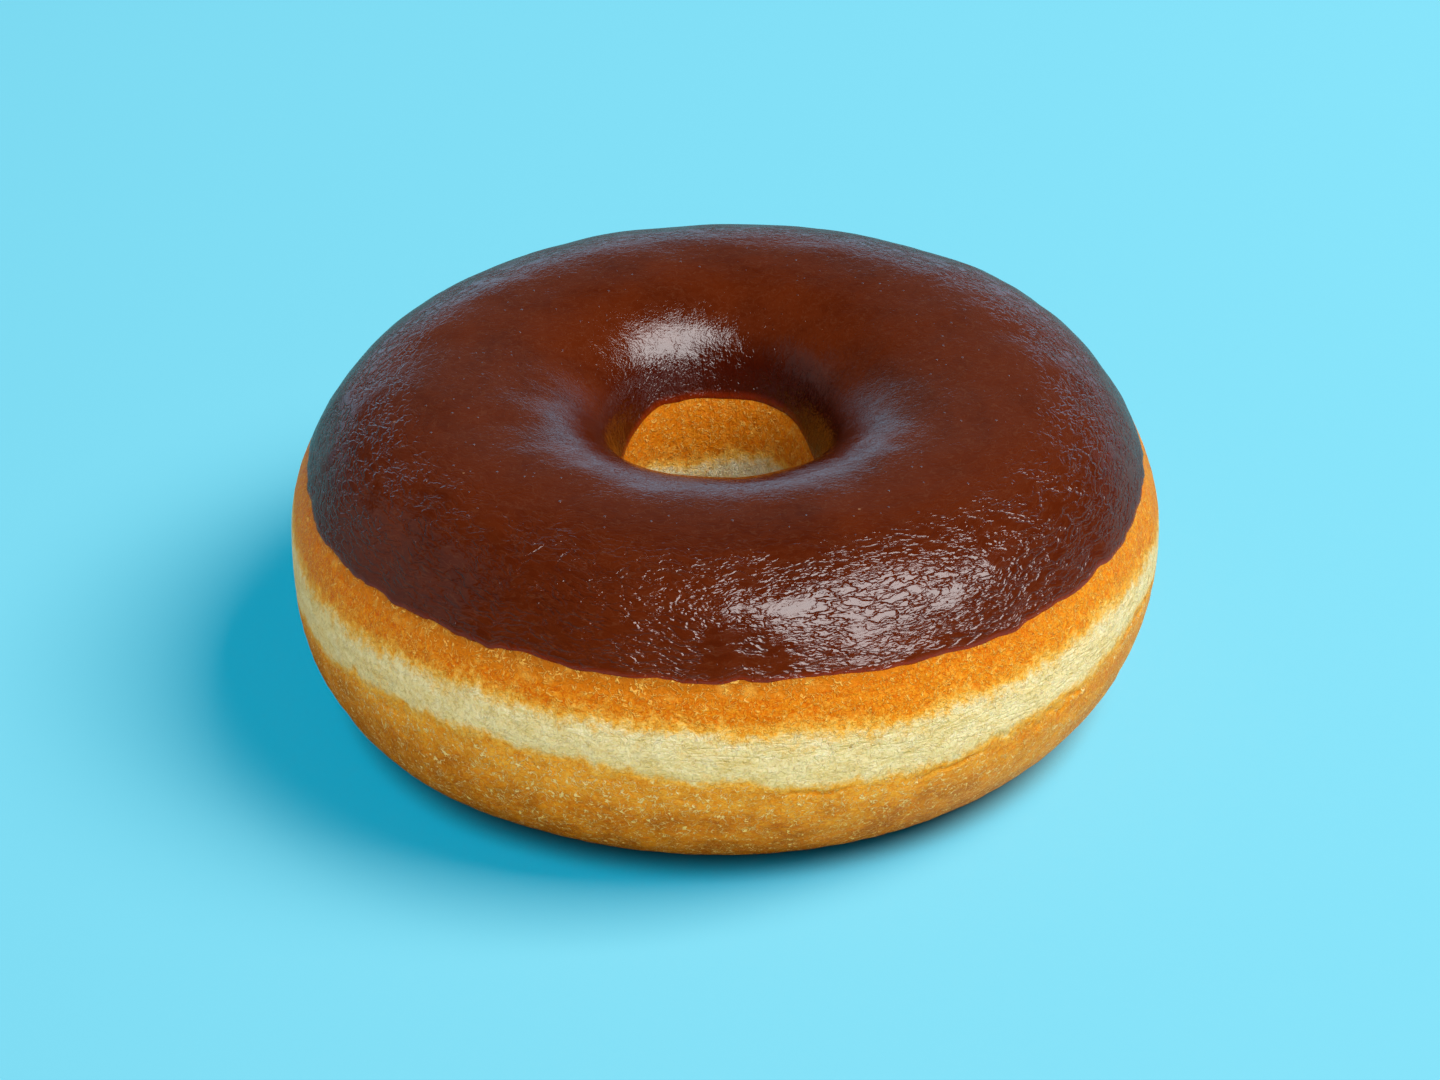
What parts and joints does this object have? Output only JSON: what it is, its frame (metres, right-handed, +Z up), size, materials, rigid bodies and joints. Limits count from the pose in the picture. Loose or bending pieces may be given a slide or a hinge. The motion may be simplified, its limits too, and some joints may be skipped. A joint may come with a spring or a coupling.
{
  "type": "ring doughnut",
  "caption": "Fried yeast-dough ring with a pale waist line and a smooth chocolate glaze dipped over its top.",
  "frame": {"origin": "on the surface that the doughnut rests on, under the middle of the ring", "axes": "+Z up through the hole, towards the glazed crown; +X and +Y lie in the resting plane, and the ring looks the same along either"},
  "size_m": [0.0923, 0.0917, 0.034],
  "materials": {
    "fried_dough": "matte",
    "chocolate_glaze": "gloss"
  },
  "bodies": {
    "root": {"dough_ring": "fried_dough", "chocolate_glaze": "chocolate_glaze"}
  },
  "joints": []
}
